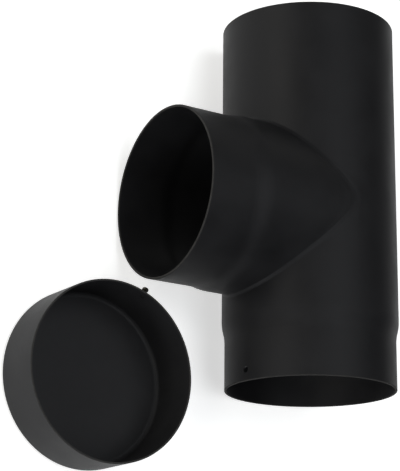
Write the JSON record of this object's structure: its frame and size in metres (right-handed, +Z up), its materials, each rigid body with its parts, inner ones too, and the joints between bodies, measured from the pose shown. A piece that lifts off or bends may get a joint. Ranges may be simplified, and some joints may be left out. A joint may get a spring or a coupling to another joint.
{
  "type": "stove pipe tee",
  "caption": "Round steel flue tee: straight run with a plain open end and a swaged spigot, a swaged side branch, and a cup-shaped cleanout cap with a clamping screw, lying beside it.",
  "frame": {"origin": "where the axis of the run and the axis of the branch cross, on the axis of the flue socket", "axes": "+Y along the run towards its plain open end, -X along the branch, +Z up from the floor that the tee and the cap lie on"},
  "size_m": [0.3364, 0.4053, 0.154],
  "materials": {
    "stove_paint": "matt black heat-proof stove paint",
    "cap_paint": "matt black heat-proof stove paint",
    "screw_steel": "dull dark zinc"
  },
  "bodies": {
    "tee_and_cap": {"tee_body": "stove_paint", "cap": "cap_paint"},
    "screw": {"cap_screw": "screw_steel"}
  },
  "joints": [
    {"name": "screw_travel", "type": "slide", "parent": "tee_and_cap", "child": "screw", "axis": [-0.4226, -0.9063, 0], "range_m": [0, 0.0049]}
  ]
}
